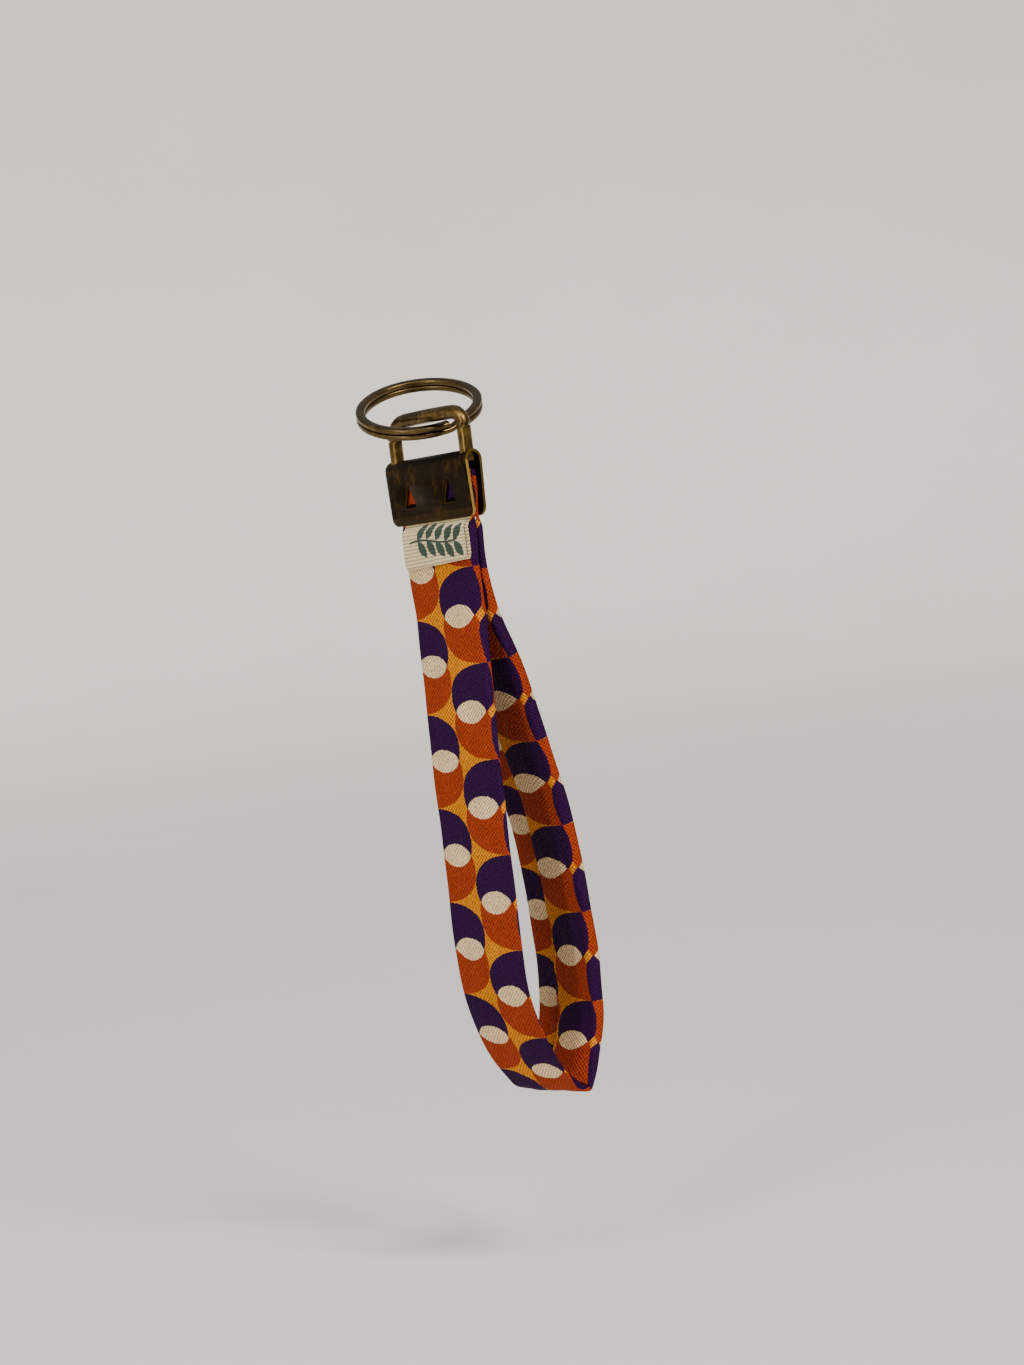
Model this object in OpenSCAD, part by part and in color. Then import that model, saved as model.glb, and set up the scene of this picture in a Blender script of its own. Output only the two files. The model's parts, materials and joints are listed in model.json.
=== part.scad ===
// Wristlet keychain: a split ring, a wire bail and a folded sheet clamp that is
// crimped on both ends of a looped cotton strap, with a folded ribbon label.
// Origin: centre of the bail's top bar. X runs along the bar, -Y is the label side, Z is up.

/* [Key ring] */
// Outer diameter of the split ring
ring_od = 32; // [30:0.5:34]
// Radial width of the ring's wire
ring_wire_w = 2.3; // [2:0.1:2.6]
// Height of one coil of the ring
ring_coil_h = 1.5; // [1.3:0.05:1.6]

/* [Bail] */
// Diameter of the bail's wire
bail_wire_d = 3.5; // [3.2:0.1:3.6]
// Distance between the centre lines of the bail's legs
bail_pitch = 27.4; // [26:0.2:27.6]
// Height of the bar's centre line above the clamp
bail_rise = 9.5; // [9.4:0.1:12]

/* [Clamp] */
// Width of the clamp
clamp_w = 32; // [32:0.2:33]
// Height of the clamp
clamp_h = 16.3; // [16:0.1:17]
// Depth of the clamp at its folded top
clamp_depth = 5.2; // [5.2:0.1:5.6]
// Depth of the clamp at its lips
clamp_mouth = 3.7; // [3.6:0.1:3.9]
// Thickness of the clamp's sheet
sheet_t = 0.75; // [0.7:0.05:0.8]

/* [Strap] */
// Width of the strap
strap_w = 25.4; // [24:0.2:26]
// Thickness of one leg of the strap
strap_t = 3.6; // [3.2:0.1:3.8]
// Length of the loop below the clamp
loop_drop = 146.7; // [144.7:0.5:160.7]
// Front to back depth of the open loop
loop_depth = 25.4; // [25.2:0.1:25.6]

/* [Label] */
// Width of the ribbon label
label_w = 25; // [22:0.2:25]
// How far the label hangs below the clamp
label_drop = 10.6; // [9:0.2:14]
// Thickness of the folded label
label_t = 1.1; // [0.9:0.1:1.2]

/* [Hidden] */
$fn = 48;
eps = 0.02;

// Heights of the clamp and of the two pivots below it.
clamp_top_z = -bail_rise;
lip_z = clamp_top_z - clamp_h;
flex_drop = 3.1;
flex_z = lip_z - flex_drop;

// Key ring: hangs on the bar, tilted and off to the label's left.
ring_centre = [-10.1, 6.1, 3.0];
ring_tilt = [17.3, 21.2, 0];
ring_gap = 0.1;
ring_r_out = ring_od / 2;
ring_r_in = ring_r_out - ring_wire_w;
jog_angle = 2;
jog_half = 11;
jog_overlap = 1;

// Bail: corner radius of the centre line, how deep the legs go, flattened feet.
bail_corner_r = 3.3;
bail_r = bail_wire_d / 2;
bail_depth = 2.2;
foot_w = 4.6;
foot_d = 2.7;
foot_h = 1.2;

// Clamp: fold radius, crimped lip, rounded corners, pressed triangular prongs.
arch_r = clamp_depth / 2;
arch_z = clamp_h - arch_r;
crease_z = 2.2;
crease_half = clamp_mouth / 2 + 0.3;
corner_r = 2;
hole_clear = 0.06;
prong_x = 7.8;
prong_z = 4.1;
prong_w = 4.7;
prong_h = 6.2;
prong_tilt = 42;
prong_len = 3.2;

// Strap: pinched ends, pivot knuckle and the arcs of the loop's outer surface.
knuckle_r = 1.95;
strap_mid_y = 0.25;
skin_t = 0.5;
end_drop = 0.7;
end_top = 11.8;
// Each arc is [radius, turn in degrees]: the front heads down, the base turns up again,
// and the back leans in to the clamp along one long arc and one short reverse arc.
front_arcs = [[42, 40], [7.5, 50]];
base_arcs = [[4.5, 70], [86, 20]];
lean = 22.5;
neck_r = 60;
back_r = (loop_depth - 2 * knuckle_r) / (1 - cos(lean)) - neck_r;
rear_arcs = concat(base_arcs, [[back_r, lean], [neck_r, -lean]]);
arc_steps = 10;

// Label: the tucked part and the hanging flap.
label_end_t = 0.5;
label_end_h = 3.4;
label_gap = 0.06;
label_y = strap_mid_y - knuckle_r - label_gap - label_t / 2;

// Loop path in (y, z): a heading of 0 points down, 90 to the rear and 180 up.
function arc_move(r, turn, h) = sign(turn) * r * [cos(h) - cos(h + turn), sin(h) - sin(h + turn)];
function arc_sum(arcs, h, i = 0) = i == len(arcs) ? [0, 0]
    : arc_move(arcs[i][0], arcs[i][1], h) + arc_sum(arcs, h + arcs[i][1], i + 1);
function arc_points(arcs, p, h, i = 0) = i == len(arcs) ? []
    : concat(
        [for (k = [1:arc_steps])
            [p + arc_move(arcs[i][0], arcs[i][1] * k / arc_steps, h), h + arcs[i][1] * k / arc_steps]],
        arc_points(arcs, p + arc_move(arcs[i][0], arcs[i][1], h), h + arcs[i][1], i + 1));
function line_points(p, h, length, count) =
    [for (k = [1:count]) [p + [sin(h), -cos(h)] * length * k / count, h]];
function last(list) = list[len(list) - 1];

// The straight runs close the loop for the chosen depth and drop.
front_move = arc_sum(front_arcs, 0);
rear_move = arc_sum(rear_arcs, 90);
drop = loop_drop - flex_drop;
front_straight = drop + front_move[1];
base_run = 2 * knuckle_r - front_move[0] - rear_move[0];
rear_straight = drop - rear_move[1];
front_top = [strap_mid_y - knuckle_r, flex_z];
loop_a = concat([[front_top, 0]], line_points(front_top, 0, front_straight, 16));
loop_b = concat(loop_a, arc_points(front_arcs, last(loop_a)[0], 0));
loop_c = concat(loop_b, line_points(last(loop_b)[0], 90, base_run, 1));
loop_d = concat(loop_c, arc_points(rear_arcs, last(loop_c)[0], 90));
loop_path = concat(loop_d, line_points(last(loop_d)[0], 180, rear_straight, 3));

// The legs lie against each other below the pivot and reach full thickness where they part.
neck_dz = neck_r * sin(lean);
function spread(d) = d < 0 ? 0
    : d < neck_dz ? neck_r - sqrt(neck_r * neck_r - d * d)
    : neck_r * (1 - cos(lean)) + (d - neck_dz) * tan(lean);
function leg_t(z) =
    min(strap_t, touch * (2 * knuckle_r + spread(flex_z - rear_straight - z)));
function inward(h) = [cos(h), sin(h)];
function skin(depth) = [for (s = loop_path) s[0] + inward(s[1]) * depth];
function lining(depth) = [for (s = loop_path) s[0] + inward(s[1]) * (leg_t(s[0][1]) - depth)];
touch = 0.49;
gap_z = flex_z - 16;
core_z = flex_z - 12;

// Extrudes a (y, z) outline along X, centred.
module along_x(width) {
    rotate([90, 0, 90]) translate([0, 0, -width / 2]) linear_extrude(width) children();
}

// Half of the round, slightly flattened wire section of one coil.
function coil_profile(h) = let (w = ring_wire_w, e = h * 0.28)
    [[0, e - h / 2], [e, -h / 2], [w - 1.6 * e, -h / 2], [w - 0.5 * e, -h / 2 + 0.45 * e],
     [w, -h * 0.12], [w, h * 0.12], [w - 0.5 * e, h / 2 - 0.45 * e], [w - 1.6 * e, h / 2],
     [e, h / 2], [0, h / 2 - e]];

coil_lift = (ring_coil_h + ring_gap) / 2;

// One flat turn of the split ring, from one side of the jog to the other.
module coil(lift) {
    rotate([0, 0, jog_angle + jog_half])
        rotate_extrude(angle = 360 - 2 * jog_half, $fn = 96)
            translate([ring_r_in, lift]) polygon(coil_profile(ring_coil_h));
}

// The short sloped stretch that joins the end of the lower turn to the start of the upper one.
module jog() {
    run = (ring_r_in + ring_wire_w / 2) * sin(jog_half);
    reach = jog_half + jog_overlap;
    rotate([0, 0, jog_angle]) rotate([asin(coil_lift / run), 0, 0]) rotate([0, 0, -reach])
        rotate_extrude(angle = 2 * reach, $fn = 96)
            translate([ring_r_in, 0]) polygon(coil_profile(ring_coil_h));
}

module key_ring() {
    color([0.43, 0.34, 0.17]) translate(ring_centre) rotate(ring_tilt) {
        coil(-coil_lift);
        coil(coil_lift);
        jog();
    }
}

// One leg of the bail with its corner and its flattened foot.
module bail_leg() {
    leg_top = -bail_corner_r;
    leg_end = clamp_top_z - bail_depth;
    translate([bail_pitch / 2 - bail_corner_r, 0, leg_top]) rotate([90, 0, 0])
        rotate_extrude(angle = 90) translate([bail_corner_r, 0]) circle(bail_r);
    translate([bail_pitch / 2, 0, leg_end]) cylinder(r = bail_r, h = leg_top - leg_end);
    translate([bail_pitch / 2 - foot_w / 2, -foot_d / 2, leg_end - foot_h + eps])
        cube([foot_w, foot_d, foot_h]);
}

module bail() {
    bar = bail_pitch - 2 * bail_corner_r;
    color([0.48, 0.37, 0.18]) {
        translate([-bar / 2, 0, 0]) rotate([0, 90, 0]) cylinder(r = bail_r, h = bar);
        bail_leg();
        mirror([1, 0, 0]) bail_leg();
    }
}

// Clamp outline in (y, z) above the lips; inset moves it inwards by the sheet.
module clamp_outline(inset) {
    lip_half = clamp_mouth / 2 - inset;
    fold_half = crease_half - inset;
    top_half = arch_r - inset;
    translate([0, arch_z]) circle(top_half);
    polygon([[-lip_half, 0], [lip_half, 0], [fold_half, crease_z], [top_half, arch_z],
        [-top_half, arch_z], [-fold_half, crease_z]]);
}

// Plate outline in (x, z) with rounded corners.
module plate_outline() {
    half = clamp_w / 2 - corner_r;
    for (x = [-half, half], z = [corner_r, clamp_h - corner_r]) translate([x, z]) circle(corner_r);
    translate([-half, 0]) square([2 * half, clamp_h]);
    translate([-clamp_w / 2, corner_r]) square([clamp_w, clamp_h - 2 * corner_r]);
}

// Half depth of the clamp's outside at a height above the lips.
function wall_y(z) = crease_half + (arch_r - crease_half) * (z - crease_z) / (arch_z - crease_z);

// One triangular window, cut through a single plate on the side given.
module window(x, side) {
    translate([x, side * (clamp_depth / 2 + 1), prong_z]) rotate([90, 0, 0])
        translate([0, 0, side > 0 ? 0 : -2.4]) linear_extrude(2.4)
            polygon([[-prong_w / 2, 0], [prong_w / 2, 0], [0, prong_h]]);
}

// The prong pressed out of a window: hinged on its base, leaning into the strap.
module prong(x, side) {
    base_y = side * (wall_y(prong_z) - sheet_t * 0.55);
    half = prong_w / 2 - 0.1;
    translate([x, base_y, prong_z - 0.1]) rotate([side * prong_tilt, 0, 0]) rotate([90, 0, 0])
        translate([0, 0, -sheet_t * 0.35]) linear_extrude(sheet_t * 0.7)
            polygon([[-half, 0], [half, 0], [half * 0.25, prong_len], [-half * 0.25, prong_len]]);
}

module clamp() {
    color([0.22, 0.17, 0.09]) translate([0, 0, lip_z]) {
        difference() {
            intersection() {
                difference() {
                    along_x(clamp_w) clamp_outline(0);
                    along_x(clamp_w + 2) clamp_outline(sheet_t);
                    translate([-clamp_w, -clamp_mouth / 2 + sheet_t, -1])
                        cube([2 * clamp_w, clamp_mouth - 2 * sheet_t, 2]);
                }
                translate([0, clamp_depth, 0]) rotate([90, 0, 0])
                    linear_extrude(2 * clamp_depth) plate_outline();
            }
            for (x = [-bail_pitch / 2, bail_pitch / 2])
                translate([x, 0, arch_z]) cylinder(r = bail_r + hole_clear, h = arch_r + 1);
            for (x = [-prong_x, prong_x], side = [-1, 1]) window(x, side);
        }
        for (x = [-prong_x, prong_x], side = [-1, 1]) prong(x, side);
    }
}

// Inside half depth of the clamp at a height above the lips, with a hair of room.
function room(z) = -eps - sheet_t + (z < crease_z
    ? clamp_mouth / 2 + (crease_half - clamp_mouth / 2) * z / crease_z : wall_y(z));

// Both ends of the strap, stacked and held in the clamp.
module strap_end() {
    front = label_end_t + eps;
    color([0.80, 0.38, 0.16]) translate([0, 0, lip_z]) difference() {
        along_x(strap_w) polygon([
            [-room(0) + front, -end_drop], [room(0), -end_drop], [room(0), 0],
            [room(crease_z), crease_z], [room(end_top), end_top], [-room(end_top), end_top],
            [-room(label_end_h), label_end_h + eps], [-room(label_end_h) + front, label_end_h + eps],
            [-room(crease_z) + front, crease_z], [-room(0) + front, 0]]);
        translate([-strap_w, strap_mid_y, -flex_drop]) rotate([0, 90, 0])
            cylinder(r = knuckle_r + 0.35, h = 2 * strap_w);
    }
}

// Thread that whips the two ends together at the open end of the clamp.
module end_stitch() {
    color([0.92, 0.90, 0.84]) for (z = [5.9, 7.5])
        translate([strap_w / 2 + 0.2, -1.25, lip_z + z]) rotate([-90, 0, 0])
            cylinder(r = 0.2, h = 2.5, $fn = 16);
}

// The label's two ends, tucked between the front plate and the strap.
module label_end() {
    color([0.90, 0.86, 0.76]) translate([0, 0, lip_z]) along_x(label_w) polygon([
        [-room(0), 0], [-room(0) + label_end_t, 0],
        [-room(crease_z) + label_end_t, crease_z], [-room(label_end_h) + label_end_t, label_end_h],
        [-room(label_end_h), label_end_h], [-room(crease_z), crease_z]]);
}

// The batting that stiffens the free loop.
module strap_core() {
    outer = skin(skin_t);
    inner = lining(skin_t);
    keep = [for (i = [0:len(loop_path) - 1]) if (loop_path[i][0][1] < core_z) i];
    color([0.95, 0.94, 0.90]) along_x(strap_w - 2 * skin_t)
        polygon(concat([for (i = keep) outer[i]], [for (k = [len(keep) - 1:-1:0]) inner[keep[k]]]));
}

// The printed cotton loop: one strip folded round the core, with a knuckle at the clamp.
module strap_cover() {
    inner = lining(0);
    open = [for (i = [0:len(loop_path) - 1]) if (loop_path[i][0][1] < gap_z) inner[i]];
    color([0.88, 0.58, 0.14]) difference() {
        union() {
            along_x(strap_w) difference() {
                polygon(skin(0));
                polygon(open);
            }
            translate([-strap_w / 2, strap_mid_y, flex_z]) rotate([0, 90, 0])
                cylinder(r = knuckle_r, h = strap_w);
        }
        strap_core();
    }
}

// The folded ribbon label that hangs in front of the strap.
module label() {
    top = flex_z;
    bottom = lip_z - label_drop;
    half = label_t / 2;
    color([0.92, 0.88, 0.78]) translate([0, label_y, 0]) {
        along_x(label_w) {
            translate([0, top]) circle(half);
            translate([-half, bottom + half]) square([label_t, top - bottom - half]);
            translate([0, bottom + half]) circle(half);
        }
    }
}

key_ring();
bail();
clamp();
strap_end();
end_stitch();
label_end();
strap_cover();
strap_core();
label();
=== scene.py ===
"""Wristlet keychain: brass fittings, printed cotton strap and ribbon label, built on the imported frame."""

import json
import logging
import math
from collections.abc import Callable
from dataclasses import dataclass, field
from enum import Enum

import bpy
from mathutils import Matrix, Vector

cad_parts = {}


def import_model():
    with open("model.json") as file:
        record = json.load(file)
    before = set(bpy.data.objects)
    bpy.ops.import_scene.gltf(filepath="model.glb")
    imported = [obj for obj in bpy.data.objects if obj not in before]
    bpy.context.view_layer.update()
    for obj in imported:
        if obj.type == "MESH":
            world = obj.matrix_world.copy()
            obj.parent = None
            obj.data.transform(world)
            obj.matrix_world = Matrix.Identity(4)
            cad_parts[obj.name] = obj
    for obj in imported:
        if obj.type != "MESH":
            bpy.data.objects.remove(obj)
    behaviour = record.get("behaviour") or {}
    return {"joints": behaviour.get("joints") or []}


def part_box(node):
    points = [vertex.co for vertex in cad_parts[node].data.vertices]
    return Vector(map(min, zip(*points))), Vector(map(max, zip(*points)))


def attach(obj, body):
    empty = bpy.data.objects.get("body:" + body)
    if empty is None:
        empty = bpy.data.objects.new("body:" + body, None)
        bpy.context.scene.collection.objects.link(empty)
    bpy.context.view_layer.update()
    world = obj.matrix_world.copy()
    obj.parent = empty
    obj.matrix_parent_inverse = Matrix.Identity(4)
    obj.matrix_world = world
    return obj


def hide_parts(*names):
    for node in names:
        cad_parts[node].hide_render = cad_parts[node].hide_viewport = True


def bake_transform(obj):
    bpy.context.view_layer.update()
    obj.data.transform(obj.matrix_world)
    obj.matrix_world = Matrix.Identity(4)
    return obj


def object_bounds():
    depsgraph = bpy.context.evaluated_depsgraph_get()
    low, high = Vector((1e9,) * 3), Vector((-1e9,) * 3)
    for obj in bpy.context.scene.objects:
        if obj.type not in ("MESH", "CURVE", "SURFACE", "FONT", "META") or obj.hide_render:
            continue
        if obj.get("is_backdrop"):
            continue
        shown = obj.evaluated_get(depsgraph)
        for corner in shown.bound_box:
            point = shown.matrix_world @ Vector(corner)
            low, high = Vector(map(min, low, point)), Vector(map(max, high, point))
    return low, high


LOG = logging.getLogger("keychain")
MM = 0.001
STRIP_DISTANCE = 0.55
Colour = tuple[float, float, float]


class Body(Enum):
    """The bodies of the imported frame."""

    RING = "ring"
    HEAD = "head"
    STRAP = "strap"
    LABEL = "label"


# ---------------------------------------------------------------- small helpers


def srgb(red: int, green: int, blue: int) -> Colour:
    """Turns a display colour into a linear one.

    Args:
        red: Display value from 0 to 255.
        green: Display value from 0 to 255.
        blue: Display value from 0 to 255.

    Returns:
        The linear colour.
    """
    return tuple(
        c / 12.92 if c <= 0.04045 else ((c + 0.055) / 1.055) ** 2.4
        for c in (red / 255, green / 255, blue / 255)
    )


def ease(x: float) -> float:
    """Smooth step from 0 to 1."""
    x = min(1.0, max(0.0, x))
    return x * x * (3 - 2 * x)


def lerp(a: float, b: float, t: float) -> float:
    """Value between a and b."""
    return a + (b - a) * t


def spread(a: float, b: float, count: int) -> list[float]:
    """Evenly spaced values from a to b, with both ends."""
    return [lerp(a, b, i / (count - 1)) for i in range(count)]


def pick(obj: bpy.types.Object) -> bpy.types.Object:
    """Makes obj the only selected and the active object."""
    bpy.ops.object.select_all(action="DESELECT")
    obj.select_set(True)
    bpy.context.view_layer.objects.active = obj
    return obj


def bake_place(obj: bpy.types.Object) -> bpy.types.Object:
    """Applies the object's place to its mesh."""
    pick(obj)
    bpy.ops.object.transform_apply(location=True, rotation=True, scale=True)
    return obj


def apply_modifier(obj: bpy.types.Object, kind: str, **settings: object) -> None:
    """Adds a modifier with the settings given and applies it.

    Args:
        obj: The object to change.
        kind: Blender's name of the modifier type.
        settings: Values of the modifier's own settings.
    """
    pick(obj)
    modifier = obj.modifiers.new(kind.title(), kind)
    for key, value in settings.items():
        setattr(modifier, key, value)
    bpy.ops.object.modifier_apply(modifier=modifier.name)


def tidy_shell(obj: bpy.types.Object, merge: float = 1e-6, fill: bool = True) -> None:
    """Merges doubles, closes open ends and points the faces outwards.

    Args:
        obj: The object whose mesh is finished.
        merge: Distance below which vertices are merged, in metres.
        fill: Whether open edge loops are closed.
    """
    pick(obj)
    bpy.ops.object.mode_set(mode="EDIT")
    bpy.ops.mesh.select_all(action="SELECT")
    bpy.ops.mesh.remove_doubles(threshold=merge)
    if fill:
        bpy.ops.mesh.fill_holes(sides=0)
    bpy.ops.mesh.select_all(action="SELECT")
    bpy.ops.mesh.normals_make_consistent(inside=False)
    bpy.ops.object.mode_set(mode="OBJECT")


def select_edges(obj: bpy.types.Object, wanted: Callable[[Vector, Vector], bool]) -> None:
    """Opens the mesh in edit mode with only some edges selected.

    Args:
        obj: The object whose edges are chosen.
        wanted: Says from an edge's two ends whether it is selected.
    """
    bpy.ops.object.mode_set(mode="EDIT")
    bpy.ops.mesh.select_mode(type="EDGE")
    bpy.ops.mesh.select_all(action="DESELECT")
    bpy.ops.object.mode_set(mode="OBJECT")
    for edge in obj.data.edges:
        edge.select = wanted(*(obj.data.vertices[i].co for i in edge.vertices))
    bpy.ops.object.mode_set(mode="EDIT")


def ring_points(radius: float, count: int) -> list[tuple[float, float]]:
    """Evenly spaced points of a circle about the origin."""
    return [(radius * math.cos(a), radius * math.sin(a)) for a in spread(0, 2 * math.pi, count + 1)[:-1]]


def compass(azimuth: float, elevation: float) -> Vector:
    """Unit vector towards an azimuth from -Y towards +X and an elevation, in degrees."""
    a, e = math.radians(azimuth), math.radians(elevation)
    return Vector((math.sin(a) * math.cos(e), -math.cos(a) * math.cos(e), math.sin(e)))


def shade(obj: bpy.types.Object, angle: float | None = None) -> None:
    """Shades the piece smooth, keeping edges sharper than the angle given, in degrees."""
    pick(obj)
    if angle is None:
        bpy.ops.object.shade_smooth()
    else:
        bpy.ops.object.shade_smooth_by_angle(angle=math.radians(angle))


def dress(obj: bpy.types.Object, material: bpy.types.Material) -> None:
    """Gives the piece one material."""
    obj.data.materials.clear()
    obj.data.materials.append(material)


def declare(obj: bpy.types.Object, slot: str, *nodes: str, body: Body | None = None) -> bpy.types.Object:
    """Hangs a finished piece on its body and hides the CAD nodes that it stands for.

    Args:
        obj: The finished piece.
        slot: The material slot of the part that it shows. Not used.
        nodes: The CAD nodes it stands for.
        body: The body it rides on, or None to leave it unattached.

    Returns:
        The piece.
    """
    if body:
        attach(obj, body.value)
    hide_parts(*nodes)
    return obj


def swept_wire(name: str, points: list[Vector], section: list[tuple[float, float]]) -> bpy.types.Object:
    """Sweeps a closed wire section along a path and turns the result into a mesh.

    Args:
        name: Name of the new object.
        points: The path, in metres.
        section: Outline of the wire, in metres, in the path's sideways and upward directions.

    Returns:
        The mesh object, closed at both ends.
    """
    bpy.ops.object.select_all(action="DESELECT")
    bpy.ops.curve.primitive_nurbs_circle_add()
    outline = bpy.context.object
    draw_poly(outline, [Vector((a, b, 0)) for a, b in section], cyclic=True)
    outline.data.dimensions = "2D"
    outline.data.fill_mode = "NONE"
    bpy.ops.curve.primitive_nurbs_path_add()
    wire = bpy.context.object
    wire.name = name
    draw_poly(wire, points, cyclic=False)
    wire.data.twist_mode = "Z_UP"
    wire.data.bevel_mode = "OBJECT"
    wire.data.bevel_object = outline
    wire.data.use_fill_caps = True
    pick(wire)
    bpy.ops.object.convert(target="MESH")
    wire = bpy.context.object
    wire.name = name
    bpy.data.objects.remove(outline, do_unlink=True)
    tidy_shell(wire)
    return wire


def flat_grid(name: str, columns: int, rows: int) -> bpy.types.Object:
    """Adds a flat gridded strip of cloth, one metre square, with its own cloth map.

    Args:
        name: Name of the new object.
        columns: Number of faces across.
        rows: Number of faces along.

    Returns:
        The flat strip.
    """
    bpy.ops.object.select_all(action="DESELECT")
    bpy.ops.mesh.primitive_grid_add(x_subdivisions=columns, y_subdivisions=rows, size=1, calc_uvs=True)
    strip = bpy.context.object
    strip.name = name
    strip.data.uv_layers[0].name = "cloth"
    return strip


def draw_poly(curve: bpy.types.Object, points: list[Vector], cyclic: bool) -> None:
    """Replaces a curve's splines with one straight-segment spline.

    Args:
        curve: The curve object.
        points: The spline's points, in metres.
        cyclic: Whether the spline is closed.
    """
    curve.location = (0, 0, 0)
    curve.data.splines.clear()
    spline = curve.data.splines.new("POLY")
    spline.points.add(len(points) - 1)
    for slot, point in zip(spline.points, points):
        slot.co = (*point, 1.0)
    spline.use_cyclic_u = cyclic


# ---------------------------------------------------------------- shader graphs


class Graph:
    """Builds the node graph of one material."""

    def __init__(self, name: str) -> None:
        """Starts a material that holds a principled shader and its output."""
        self.material = bpy.data.materials.new(name)
        self.material.use_nodes = True
        self.tree = self.material.node_tree
        self.tree.nodes.clear()
        self.surface = self.add("BsdfPrincipled")
        output = self.add("OutputMaterial")
        self.tree.links.new(self.surface.outputs["BSDF"], output.inputs["Surface"])

    def add(self, kind: str, **settings: object) -> bpy.types.Node:
        """Adds a shader node.

        Args:
            kind: The node's type, without Blender's ShaderNode prefix.
            settings: Values of the node's own settings.

        Returns:
            The new node.
        """
        node = self.tree.nodes.new("ShaderNode" + kind)
        for key, value in settings.items():
            setattr(node, key, value)
        return node

    def plug(self, socket: bpy.types.NodeSocket, value: object) -> None:
        """Links a socket to another one, or sets its value."""
        if isinstance(value, bpy.types.NodeSocket):
            self.tree.links.new(value, socket)
        elif isinstance(value, tuple) and len(value) == 3 and socket.type == "RGBA":
            socket.default_value = (*value, 1.0)
        else:
            socket.default_value = value

    def set(self, name: str, value: object) -> None:
        """Sets or links one input of the principled shader."""
        self.plug(self.surface.inputs[name], value)

    def math(self, operation: str, *values: object) -> bpy.types.NodeSocket:
        """Adds a math node and returns its result."""
        node = self.add("Math", operation=operation)
        for socket, value in zip(node.inputs, values):
            self.plug(socket, value)
        return node.outputs[0]

    def times(self, a: object, b: object) -> bpy.types.NodeSocket:
        """Product of two values."""
        return self.math("MULTIPLY", a, b)

    def plus(self, a: object, b: object) -> bpy.types.NodeSocket:
        """Sum of two values."""
        return self.math("ADD", a, b)

    def minus(self, a: object, b: object) -> bpy.types.NodeSocket:
        """Difference of two values."""
        return self.math("SUBTRACT", a, b)

    def over(self, a: object, b: object) -> bpy.types.NodeSocket:
        """Quotient of two values."""
        return self.math("DIVIDE", a, b)

    def power(self, a: object, b: object) -> bpy.types.NodeSocket:
        """One value raised to another."""
        return self.math("POWER", a, b)

    def step(self, value: object, low: float, high: float) -> bpy.types.NodeSocket:
        """Smooth step of a value, from 0 at low to 1 at high."""
        node = self.add("MapRange", interpolation_type="SMOOTHSTEP")
        for name, given in (("Value", value), ("From Min", low), ("From Max", high)):
            self.plug(node.inputs[name], given)
        return node.outputs[0]

    def span(self, value: object, low: float, high: float) -> bpy.types.NodeSocket:
        """Maps a value from 0..1 to low..high."""
        return self.math("MULTIPLY_ADD", value, high - low, low)

    def mix(self, factor: object, a: object, b: object) -> bpy.types.NodeSocket:
        """Mixes two colours."""
        node = self.add("Mix", data_type="RGBA")
        for index, value in ((0, factor), (6, a), (7, b)):
            self.plug(node.inputs[index], value)
        return node.outputs[2]

    def noise(self, vector: object, scale: float, detail: float = 3.0,
              rough: float = 0.55) -> bpy.types.NodeSocket:
        """Adds a noise texture and returns its factor."""
        node = self.add("TexNoise")
        for name, value in (("Vector", vector), ("Scale", scale), ("Detail", detail), ("Roughness", rough)):
            self.plug(node.inputs[name], value)
        return node.outputs[0]

    def bump(self, height: object, strength: float, distance: float,
             under: object = None) -> bpy.types.NodeSocket:
        """Adds a bump node over another normal and returns its normal."""
        node = self.add("Bump")
        for name, value in (("Strength", strength), ("Distance", distance), ("Height", height)):
            self.plug(node.inputs[name], value)
        if under is not None:
            self.plug(node.inputs["Normal"], under)
        return node.outputs[0]

    def place(self, stretch: tuple[float, float, float] = (1, 1, 1)) -> bpy.types.NodeSocket:
        """Object coordinates, stretched along the axes."""
        mapping = self.add("Mapping")
        self.plug(mapping.inputs["Vector"], self.add("TexCoord").outputs["Object"])
        self.plug(mapping.inputs["Scale"], stretch)
        return mapping.outputs[0]

    def cloth_axes(self) -> tuple[bpy.types.NodeSocket, bpy.types.NodeSocket, bpy.types.NodeSocket]:
        """The piece's own cloth map: the map, and across and along in millimetres."""
        uv = self.add("UVMap", uv_map="cloth").outputs[0]
        split = self.add("SeparateXYZ")
        self.plug(split.inputs[0], uv)
        across, along = (self.times(split.outputs[i], 1000.0) for i in (0, 1))
        return uv, across, along


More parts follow.
